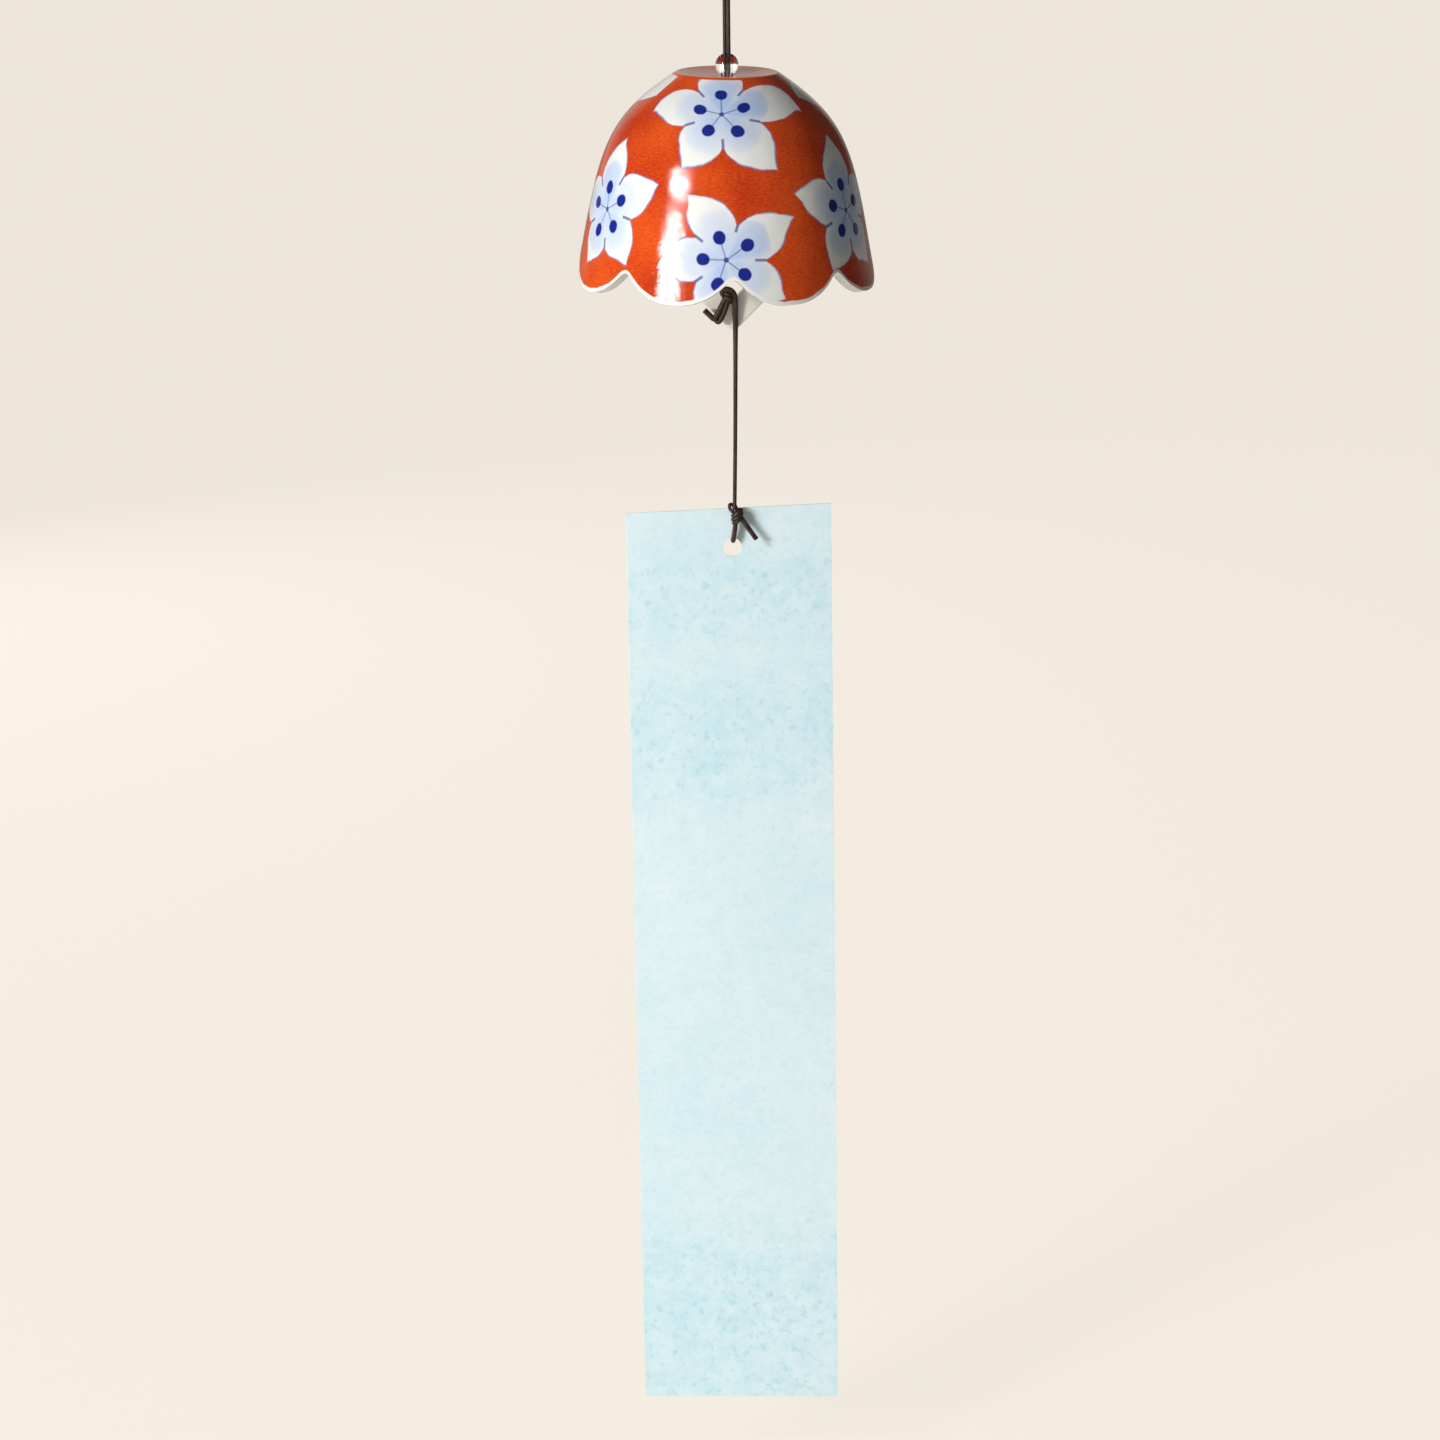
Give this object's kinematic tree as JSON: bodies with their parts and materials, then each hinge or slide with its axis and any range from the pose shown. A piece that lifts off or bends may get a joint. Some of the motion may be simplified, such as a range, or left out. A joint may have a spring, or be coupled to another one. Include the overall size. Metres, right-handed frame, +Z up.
{
  "type": "wind bell",
  "caption": "Hanging wind bell: a scalloped porcelain bell on a doubled cord, with a bead, a square ring clapper and a long paper strip that catches the wind.",
  "frame": {"origin": "inside top of the hanging eye, where a hook bears", "axes": "+Z up along the hanging cord, +X to the right of the bell, -Y towards its front, which is the side with a flower under the crown and the knots"},
  "size_m": [0.0836, 0.0836, 0.4499],
  "materials": {
    "painted_porcelain": "gloss",
    "white_porcelain": "gloss",
    "clear_glass": "polished",
    "waxed_cord": "satin",
    "blue_paper": "matte"
  },
  "bodies": {
    "hanging_loop": {"hanging_eye": "waxed_cord"},
    "upper_cord": {"upper_cord": "waxed_cord"},
    "bell_cord": {"bell_cord": "waxed_cord", "stop_knot": "waxed_cord"},
    "bead": {"glass_bead": "clear_glass"},
    "bell": {"bell": "painted_porcelain"},
    "clapper_cord": {"clapper_cord": "waxed_cord"},
    "clapper": {"clapper": "white_porcelain", "clapper_top_knot": "waxed_cord", "clapper_top_loop": "waxed_cord", "clapper_tie": "waxed_cord", "clapper_knot": "waxed_cord", "clapper_tail": "waxed_cord"},
    "lower_cord": {"lower_cord": "waxed_cord"},
    "strip": {"paper_strip": "blue_paper", "strip_knot": "waxed_cord", "strip_loop": "waxed_cord", "strip_tail": "waxed_cord"}
  },
  "joints": [
    {"name": "cord_swing", "type": "hinge", "parent": "hanging_loop", "child": "upper_cord", "pos_m": [0, 0, -0.01507], "axis": [0, 1, 0], "range_deg": [-20, 20]},
    {"name": "bell_swing", "type": "hinge", "parent": "upper_cord", "child": "bell_cord", "pos_m": [0, 0, -0.02407], "axis": [1, 0, 0], "range_deg": [-20, 20]},
    {"name": "bell_turn", "type": "hinge", "parent": "bell_cord", "child": "bell", "pos_m": [0, 0, -0.0433], "axis": [0, 0, 1], "continuous": true},
    {"name": "bead_lift", "type": "slide", "parent": "bell_cord", "child": "bead", "axis": [0, 0, 1], "range_m": [0, 0.007]},
    {"name": "clapper_swing", "type": "hinge", "parent": "bell_cord", "child": "clapper_cord", "pos_m": [0.001, 0, -0.04934], "axis": [0, 1, 0], "range_deg": [-27, 27]},
    {"name": "clapper_tilt", "type": "hinge", "parent": "clapper_cord", "child": "clapper", "pos_m": [0.001, 0, -0.07931], "axis": [1, 0, 0], "range_deg": [-20, 20]},
    {"name": "lower_swing", "type": "hinge", "parent": "clapper", "child": "lower_cord", "pos_m": [0.001, -0.00259, -0.1129], "axis": [0, 1, 0], "range_deg": [-25, 25]},
    {"name": "strip_turn", "type": "hinge", "parent": "lower_cord", "child": "strip", "pos_m": [0.001, -0.00259, -0.163], "axis": [0, 0, 1], "continuous": true}
  ]
}
